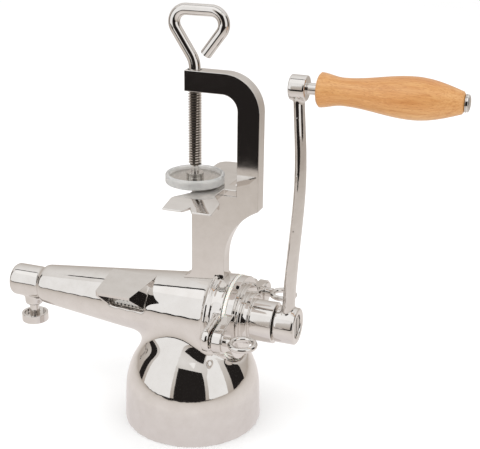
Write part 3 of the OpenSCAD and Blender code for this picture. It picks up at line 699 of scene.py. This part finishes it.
class JUICER_OT_clamp_screw(bpy.types.Operator):
    """Models the clamp screw: a bent rod handle with a rolled thread wound on its shank"""
    bl_idname = "juicer.clamp_screw"
    bl_label = "Clamp screw"

    def execute(self, context):
        thread = context.scene.juicer_thread
        rod = copy_of("clamp_screw_rod", "clamp_screw")
        pad_low, pad_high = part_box("clear_pad")
        screw_x = (pad_low[0] + pad_high[0]) / 2
        boss_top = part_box("pad_disc")[1][2]
        thread_low = boss_top + thread.neck
        thread_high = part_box("clamp_frame")[1][2] - thread.cover
        crest = thread.crest
        root = crest - thread.depth

        def on_shank(place):
            out = math.hypot(place.x - screw_x, place.y)
            inside = thread_low - thread.seat < place.z < thread_high + thread.seat
            return inside and out > crest - thread.relief

        edit(rod)
        select_where(rod, on_shank)
        slim = (root + thread.seat) / crest
        bpy.ops.transform.resize(value=(slim, slim, 1.0), center_override=(screw_x, 0.0, 0.0))
        bpy.ops.object.mode_set(mode="OBJECT")
        smooth(rod)
        # The slimmed shank faces between the turns take the root material, which paints shade into
        # the thread roots.
        rod.data.materials.append(material("polished"))
        rod.data.materials.append(material("root"))
        for face in rod.data.polygons:
            out = math.hypot(face.center.x - screw_x, face.center.y)
            on_root = thread_low < face.center.z < thread_high and out < crest
            face.material_index = 1 if on_root else 0
        flank, land = thread.flank, thread.land
        top = crest - thread.relief
        profile = ((root, 0.0), (top, flank), (top, flank + land), (root, 2 * flank + land),
                   (root, 1.0))
        winding = outline("clamp_screw_thread", [
            (screw_x + out, 0.0, thread_low + thread.pitch * share) for out, share in profile])
        pick(winding)
        bpy.context.scene.cursor.location = (screw_x, 0.0, 0.0)
        bpy.ops.object.origin_set(type="ORIGIN_CURSOR")
        turns = int((thread_high - thread_low) / thread.pitch) - 1
        modify(winding, "SCREW", axis="Z", angle=FULL_TURN, screw_offset=thread.pitch,
               iterations=turns, steps=thread.steps, render_steps=thread.steps,
               use_merge_vertices=True, merge_threshold=MERGE)
        settle(winding)
        tidy_mesh(winding)
        smooth(winding, THREAD_SHADING)
        winding.data.materials.append(material("polished"))
        pick(rod)
        winding.select_set(True)
        bpy.ops.object.join()
        settle(rod)
        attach(rod, BODY_OF["clamp_screw"])
        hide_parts("clamp_screw")
        repaint("swivel_rivet", material("satin"))
        return {"FINISHED"}


class JUICER_OT_pad(bpy.types.Operator):
    """Turns the milky pad cup and the steel disc that it is pressed over"""
    bl_idname = "juicer.pad"
    bl_label = "Pad"

    def execute(self, context):
        edges = context.scene.juicer_edges
        low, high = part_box("clear_pad")
        centre_x = (low[0] + high[0]) / 2
        radius = (high[0] - low[0]) / 2
        wall = 3.0 * MM
        floor = 2.5 * MM
        bottom_round = 1.4 * MM
        lip = wall / 2
        inner_round = 0.5 * MM
        across = [(0.0, low[2])]
        across += arc((radius - bottom_round, low[2] + bottom_round), bottom_round, -90, 0, 6)
        across += arc((radius - lip, high[2] - lip), lip, 0, 180, 12)
        across += arc((radius - wall - inner_round, low[2] + floor + inner_round), inner_round,
                      0, -90, 4)
        across += [(0.0, low[2] + floor)]
        points = [(centre_x + out, 0.0, up) for out, up in across]
        cup = turned("pad_cup", points, (centre_x, 0.0, 0.0), (0.0, 0.0, 1.0), CUP_STEPS)
        smooth(cup)
        hand_over(cup, BODY_OF["clear_pad"], material("clear"), "clear_pad",
                  slot="clear_plastic")
        disc = eased("pad_disc_turned", "pad_disc", edges.small_edge, edges.rounding)
        hand_over(disc, BODY_OF["pad_disc"], material("satin"), "pad_disc",
                  slot="satin_steel")
        return {"FINISHED"}


def grown(name, rings, corners):
    """A bar grown ring by ring: each ring is (centre, half width along X, half width along Y)."""
    deselect()
    centre, half_x, half_y = rings[0]
    bpy.ops.mesh.primitive_circle_add(vertices=corners, radius=half_x, fill_type="NGON",
                                      location=centre)
    piece = bpy.context.object
    piece.name = name
    settle(piece)
    edit(piece, "FACE")
    bpy.ops.mesh.select_all(action="SELECT")
    bpy.ops.transform.resize(value=(1.0, half_y / half_x, 1.0), center_override=centre)
    for (here, here_x, here_y), (there, there_x, there_y) in zip(rings, rings[1:]):
        bpy.ops.mesh.extrude_region_move(
            TRANSFORM_OT_translate={"value": Vector(there) - Vector(here)})
        bpy.ops.transform.resize(value=(there_x / here_x, there_y / here_y, 1.0),
                                 center_override=there)
    bpy.ops.object.mode_set(mode="OBJECT")
    return piece


class JUICER_OT_crank(bpy.types.Operator):
    """Forges the crank arm: an oval bar blended into a boss at each end, and its end screw"""
    bl_idname = "juicer.crank"
    bl_label = "Crank arm"

    def execute(self, context):
        casting = context.scene.juicer_casting
        edges = context.scene.juicer_edges
        crank = context.scene.juicer_crank
        low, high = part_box("crank_arm")
        screw_low, screw_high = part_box("crank_end_screw")
        axis_z = (screw_low[2] + screw_high[2]) / 2
        bolt_low, bolt_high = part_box("grip_bolt")
        grip_z = (bolt_low[2] + bolt_high[2]) / 2
        low_r = axis_z - low[2]
        top_r = high[2] - grip_z
        low_x = low[0]
        low_end = low_x + crank.low_boss
        top_x = bolt_low[0]
        top_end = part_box("grip_spacer")[0][0]
        recess_r, recess_depth = 9.0 * MM, 4.0 * MM
        bore_r, bolt_r = 6.0 * MM, 3.0 * MM

        centre_x = low_x + crank.low_boss / 2
        skew, gather = 1.4, 1.5
        low_bury, top_bury = 0.6, 0.5
        start, stop = axis_z + low_r * low_bury, grip_z - top_r * top_bury
        rings = []
        for step in range(crank.rings + 1):
            share = step / crank.rings
            bow = math.sin(math.pi * share**skew)**gather if 0 < share < 1 else 0.0
            along = centre_x + crank.lean * share + crank.bow * bow
            half_x = (crank.low_thick + (crank.top_thick - crank.low_thick) * share) / 2
            half_y = (crank.low_wide + (crank.top_wide - crank.low_wide) * share) / 2
            rings.append(((along, 0.0, start + (stop - start) * share), half_x, half_y))
        arm = grown("crank_arm_forged", rings, BAR_STEPS)

        low_boss = turned("crank_boss", [
            (low_x, 0.0, axis_z + bore_r), (low_x, 0.0, axis_z + low_r),
            (low_end, 0.0, axis_z + low_r), (low_end, 0.0, axis_z + recess_r),
            (low_end - recess_depth, 0.0, axis_z + recess_r),
            (low_end - recess_depth, 0.0, axis_z + bore_r), (low_x, 0.0, axis_z + bore_r)],
            (0.0, 0.0, axis_z), (1.0, 0.0, 0.0), LOW_BOSS_STEPS)
        top_boss = turned("crank_top_boss", [
            (top_x, 0.0, grip_z + bolt_r), (top_x, 0.0, grip_z + top_r),
            (top_end, 0.0, grip_z + top_r), (top_end, 0.0, grip_z + bolt_r),
            (top_x, 0.0, grip_z + bolt_r)],
            (0.0, 0.0, grip_z), (1.0, 0.0, 0.0), TOP_BOSS_STEPS)
        pick(arm)
        low_boss.select_set(True)
        top_boss.select_set(True)
        bpy.ops.object.join()

        def closeness(place):
            """Near the line where the bar leaves either boss."""
            off_low = abs(math.hypot(place.y, place.z - axis_z) - low_r)
            off_top = abs(math.hypot(place.y, place.z - grip_z) - top_r)
            beside = abs(place.y) < crank.low_wide / 2 + crank.fillet
            if not beside or place.z < axis_z or place.z > grip_z:
                return 0.0
            along = abs(place.x - centre_x - (0.0 if place.z < grip_z / 2 else crank.lean))
            inside = fade(along - crank.low_thick / 2, crank.fillet)
            return inside * fade(min(off_low, off_top), crank.fillet)

        blend_skin(arm, casting.arm_cell, casting.arm_passes, closeness,
                   casting.boss_fillet_passes)
        hand_over(arm, "crank", material("polished"), "crank_arm", slot="polished_steel")
        screw = eased("crank_end_screw_turned", "crank_end_screw", edges.small_edge,
                      edges.rounding)
        hand_over(screw, BODY_OF["crank_end_screw"], material("satin"), "crank_end_screw",
                  slot="satin_steel")
        return {"FINISHED"}


class JUICER_OT_drive(bpy.types.Operator):
    """Finishes the auger, its shaft and the key inside the barrel"""
    bl_idname = "juicer.drive"
    bl_label = "Auger and shaft"

    def execute(self, context):
        for node in ("auger", "auger_shaft", "drive_key"):
            repaint(node, material("satin"))
        return {"FINISHED"}


def grip_radius(share, widest):
    """Radius of the grip at a share of its length from the crank: neck, waist, belly and tail."""
    waist_at, belly_at = 0.17, 0.66
    neck, waist, tail = 12.4 * MM, 9.8 * MM, 7.2 * MM

    def ease(start, stop, t):
        return start + (stop - start) * (1 - math.cos(math.pi * min(1.0, max(0.0, t)))) / 2

    if share < waist_at:
        return ease(neck, waist, share / waist_at)
    if share < belly_at:
        return ease(waist, widest, (share - waist_at) / (belly_at - waist_at))
    return ease(widest, 2 * tail - widest, (share - belly_at) / (2 * (1 - belly_at)))


class JUICER_OT_grip(bpy.types.Operator):
    """Turns the beech grip with rounded ends, and the washer, spacer and dome nut that hold it"""
    bl_idname = "juicer.grip"
    bl_label = "Grip"

    def execute(self, context):
        grip = context.scene.juicer_grip
        edges = context.scene.juicer_edges
        low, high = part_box("wood_grip")
        start, stop = low[0], high[0]
        middle_z = (low[2] + high[2]) / 2
        widest = (high[2] - low[2]) / 2
        bore = 3.05 * MM
        rounding = grip.end_round
        body = []
        for ring in range(grip.rings + 1):
            share = ring / grip.rings
            along = start + (stop - start) * share
            near_end = min(along - start, stop - along)
            drop = 0.0
            if near_end < rounding:
                drop = rounding - math.sqrt(max(0.0, rounding**2 - (rounding - near_end)**2))
            body.append((along, grip_radius(share, widest) - drop))
        around = [(start, bore)] + body + [(stop, bore), (start, bore)]
        points = [(along, 0.0, middle_z + out) for along, out in around]
        wood = turned("beech_grip", points, (0.0, 0.0, middle_z), (1.0, 0.0, 0.0), grip.steps)
        smooth(wood)
        hand_over(wood, BODY_OF["wood_grip"], material("beech"), "wood_grip",
                  slot="beech")
        low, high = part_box("grip_nut")
        half = (high[2] - low[2]) / 2
        reach = high[0] - low[0]
        skirt = 0.45
        chamfer = 0.3 * MM
        dome = [(low[0], 0.0), (low[0], half - chamfer), (low[0] + chamfer, half)]
        dome += [(low[0] + reach * skirt + reach * (1 - skirt) * math.sin(t), half * math.cos(t))
                 for t in [math.pi / 2 * i / DOME_STEPS for i in range(DOME_STEPS + 1)]]
        points = [(along, 0.0, middle_z + max(out, 0.0)) for along, out in dome]
        nut = turned("dome_nut", points, (0.0, 0.0, middle_z), (1.0, 0.0, 0.0), NUT_STEPS)
        smooth(nut)
        hand_over(nut, BODY_OF["grip_nut"], material("polished"), "grip_nut",
                  slot="polished_steel")
        for node in ("grip_washer", "grip_spacer"):
            piece = eased(node + "_turned", node, edges.small_edge / 2, edges.rounding)
            hand_over(piece, BODY_OF[node], material("polished"), node,
                      slot="polished_steel")
        repaint("grip_bolt", material("satin"))
        return {"FINISHED"}


# ---------- the stage ----------
def panel(name, place, aim, size, colour, glow):
    """A card that shows only in reflections: a softbox if it glows, a dark flag if it doesn't."""
    deselect()
    bpy.ops.mesh.primitive_plane_add(size=1.0, location=place)
    card = bpy.context.object
    card.name = name
    card.scale = (size[0], size[1], 1.0)
    card.rotation_euler = (Vector(aim) - Vector(place)).to_track_quat("Z", "Y").to_euler()
    surface = bpy.data.materials.new(name + " card")
    surface.use_nodes = True
    tree = surface.node_tree
    tree.nodes.remove(tree.nodes["Principled BSDF"])
    light = add(tree, "ShaderNodeEmission", {"Color": linear(colour), "Strength": glow})
    fill(tree, tree.nodes["Material Output"], links={"Surface": light.outputs["Emission"]})
    card.data.materials.append(surface)
    card.visible_camera = False
    card.visible_diffuse = False
    card.visible_shadow = False
    card.visible_transmission = False
    return card


def soft_light(name, place, aim, size, power):
    """A large soft lamp that lights the floor and the wood and isn't seen in the steel."""
    data = bpy.data.lights.new(name, "AREA")
    data.shape = "RECTANGLE"
    data.size, data.size_y = size
    data.energy = power
    lamp = bpy.data.objects.new(name, data)
    bpy.context.scene.collection.objects.link(lamp)
    lamp.location = place
    lamp.rotation_euler = (Vector(aim) - Vector(place)).to_track_quat("-Z", "Y").to_euler()
    lamp.visible_glossy = False
    return lamp


# lamps: place, size in metres and power in watts
LAMPS = (
    ("key light", (-0.5, -0.9, 1.5), (1.4, 1.0), 7.0),
    ("fill light", (1.3, -0.5, 1.0), (1.0, 1.0), 3.0),
    ("back light", (0.2, 1.3, 1.2), (1.6, 0.8), 3.0),
)
# cards that stand round the piece: turn from the camera's side in degrees, distance, height, size
STANDING_CARDS = (
    ("room behind the camera", -3, 1.7, 0.72, (1.7, 1.45), "dark"),
    ("softbox left", -62, 1.5, 1.0, (1.5, 2.0), "glow"),
    ("softbox right", 46, 1.5, 0.95, (0.9, 1.9), "glow"),
    ("flag left", -101, 1.4, 0.6, (0.32, 1.2), "dark"),
    ("flag right", 88, 1.4, 0.6, (0.7, 1.2), "dark"),
)
# cards that hang over the piece or lie on the floor: place, the point that they face, size, glow
HUNG_CARDS = (
    ("softbox overhead", (-0.2, -0.75, 1.9), (0.0, 0.0, 0.1), (2.4, 1.1), "glow", 1.1),
    ("gap overhead", (0.0, 0.02, 1.9), (0.0, 0.02, 0.1), (3.0, 0.16), "dark", 1.0),
    ("floor beyond the paper", (-0.3, -1.28, 0.002), (-0.3, -1.28, 1.0), (2.8, 1.25), "dark", 1.0),
)
FLOOR_SIZE = 9.0


class JUICER_OT_stage(bpy.types.Operator):
    """Sets the pale floor, the soft studio light and the camera"""
    bl_idname = "juicer.stage"
    bl_label = "Stage"

    def execute(self, context):
        scene = context.scene
        stage = scene.juicer_stage
        colours = finish()
        scene.view_settings.view_transform = "Standard"
        deselect()
        bpy.ops.mesh.primitive_plane_add(size=1.0, location=(0.0, 0.0, 0.0))
        floor = bpy.context.object
        floor.name = "floor"
        floor.scale = (FLOOR_SIZE, FLOOR_SIZE, 1.0)
        settle(floor)
        floor.data.materials.append(self.paper())

        self.world(scene)
        middle = Vector(stage.aim)
        for name, place, size, power in LAMPS:
            soft_light(name, place, middle, size, power)
        side = math.degrees(math.atan2(stage.eye[0] - stage.aim[0], stage.aim[1] - stage.eye[1]))
        for name, turn, away, up, size, shade in STANDING_CARDS:
            angle = math.radians(side + turn)
            place = (away * math.sin(angle), -away * math.cos(angle), up)
            panel(name, place, (0.0, 0.0, up), size, getattr(colours, shade), 1.0)
        for name, place, aim, size, shade, glow in HUNG_CARDS:
            panel(name, place, aim, size, getattr(colours, shade), glow)

        data = bpy.data.cameras.new("camera")
        data.sensor_width = stage.sensor
        data.lens = stage.lens
        camera = bpy.data.objects.new("camera", data)
        scene.collection.objects.link(camera)
        eye = Vector(stage.eye)
        look = (middle - eye).to_track_quat("-Z", "Y").to_matrix().to_4x4()
        turn = Matrix.Rotation(stage.roll, 4, "Z")
        camera.matrix_world = Matrix.Translation(eye) @ look @ turn
        scene.camera = camera
        return {"FINISHED"}

    def paper(self):
        """White paper: to the steel it glows with painted light, bright by the piece and darkening
        with distance, as paper does away from a lamp.
        """
        paper, tree, shader, place = blank("White paper floor")
        colours = finish()
        fibres = add(tree, "ShaderNodeTexNoise", {"Scale": 3.0}, {"Vector": place})
        tone = add(tree, "ShaderNodeValToRGB", links={"Fac": fibres.outputs["Fac"]},
                   stops=[(0.3, linear(colours.floor)), (0.7, linear(colours.floor_fibre))])
        fill(tree, shader, {"Roughness": 0.9, "Specular IOR Level": 0.1},
             {"Base Color": tone.outputs["Color"]})
        away = add(tree, "ShaderNodeVectorMath", links={0: place}, operation="LENGTH")
        # Painted light on the floor: glossy rays see this emission rather than the lit paper, so the
        # steel mirrors a painted pool of light.
        shade = add(tree, "ShaderNodeValToRGB", links={"Fac": away.outputs["Value"]},
                    stops=[(0.06, linear(colours.near)), (0.14, linear(colours.mid)),
                           (0.5, linear(colours.far)), (1.0, linear(colours.horizon))])
        mirrored = add(tree, "ShaderNodeEmission", links={"Color": shade.outputs["Color"]})
        rays = add(tree, "ShaderNodeLightPath")
        both = add(tree, "ShaderNodeMixShader", links={
            0: rays.outputs["Is Glossy Ray"], 1: shader.outputs["BSDF"],
            2: mirrored.outputs["Emission"]})
        fill(tree, tree.nodes["Material Output"], links={"Surface": both.outputs["Shader"]})
        return paper

    def world(self, scene):
        """White all round to the eye, and a bright ceiling over a dim room to the steel."""
        world = bpy.data.worlds.new("studio")
        scene.world = world
        world.use_nodes = True
        tree = world.node_tree
        tree.nodes.clear()
        colours = finish()
        place = add(tree, "ShaderNodeTexCoord").outputs["Generated"]
        split = add(tree, "ShaderNodeSeparateXYZ", links={"Vector": place})
        height = add(tree, "ShaderNodeMapRange", {"From Min": -1.0, "From Max": 1.0},
                     {"Value": split.outputs["Z"]})
        room = add(tree, "ShaderNodeValToRGB", links={"Fac": height.outputs["Result"]},
                   stops=[(0.48, linear(colours.horizon)), (0.56, linear(colours.wall)),
                          (0.80, linear(colours.high)), (0.93, linear(colours.ceiling))])
        in_steel = add(tree, "ShaderNodeBackground", links={"Color": room.outputs["Color"]})
        to_eye = add(tree, "ShaderNodeBackground", {"Color": linear(colours.floor)})
        rays = add(tree, "ShaderNodeLightPath")
        mix = add(tree, "ShaderNodeMixShader", links={
            0: rays.outputs["Is Glossy Ray"], 1: to_eye.outputs["Background"],
            2: in_steel.outputs["Background"]})
        add(tree, "ShaderNodeOutputWorld", links={"Surface": mix.outputs["Shader"]})


STEPS = (JUICER_OT_body, JUICER_OT_cover, JUICER_OT_eye_screws,
         JUICER_OT_throttle, JUICER_OT_clamp_frame, JUICER_OT_clamp_screw, JUICER_OT_pad,
         JUICER_OT_crank, JUICER_OT_drive, JUICER_OT_grip, JUICER_OT_stage)


class JUICER_PT_panel(bpy.types.Panel):
    """Lists the steps in the sidebar"""
    bl_idname = "JUICER_PT_panel"
    bl_label = "Juicer"
    bl_space_type = "VIEW_3D"
    bl_region_type = "UI"
    bl_category = "Juicer"

    def draw(self, context):
        for group, kind in GROUPS.items():
            box = self.layout.box()
            settings = getattr(context.scene, group)
            for name in kind.__annotations__:
                box.prop(settings, name)
        for step in STEPS:
            self.layout.operator(step.bl_idname)


def register():
    """Adds the settings, the steps and the panel."""
    for kind in (*GROUPS.values(), *STEPS, JUICER_PT_panel):
        bpy.utils.register_class(kind)
    for name, kind in GROUPS.items():
        setattr(bpy.types.Scene, name, PointerProperty(type=kind))


def unregister():
    """Takes them away again."""
    for name in GROUPS:
        delattr(bpy.types.Scene, name)
    for kind in (JUICER_PT_panel, *reversed(STEPS), *reversed(tuple(GROUPS.values()))):
        bpy.utils.unregister_class(kind)


def main():
    """Registers the add-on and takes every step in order."""
    register()
    for step in STEPS:
        group, name = step.bl_idname.split(".")
        getattr(getattr(bpy.ops, group), name)()


if __name__ == "__main__":
    main()
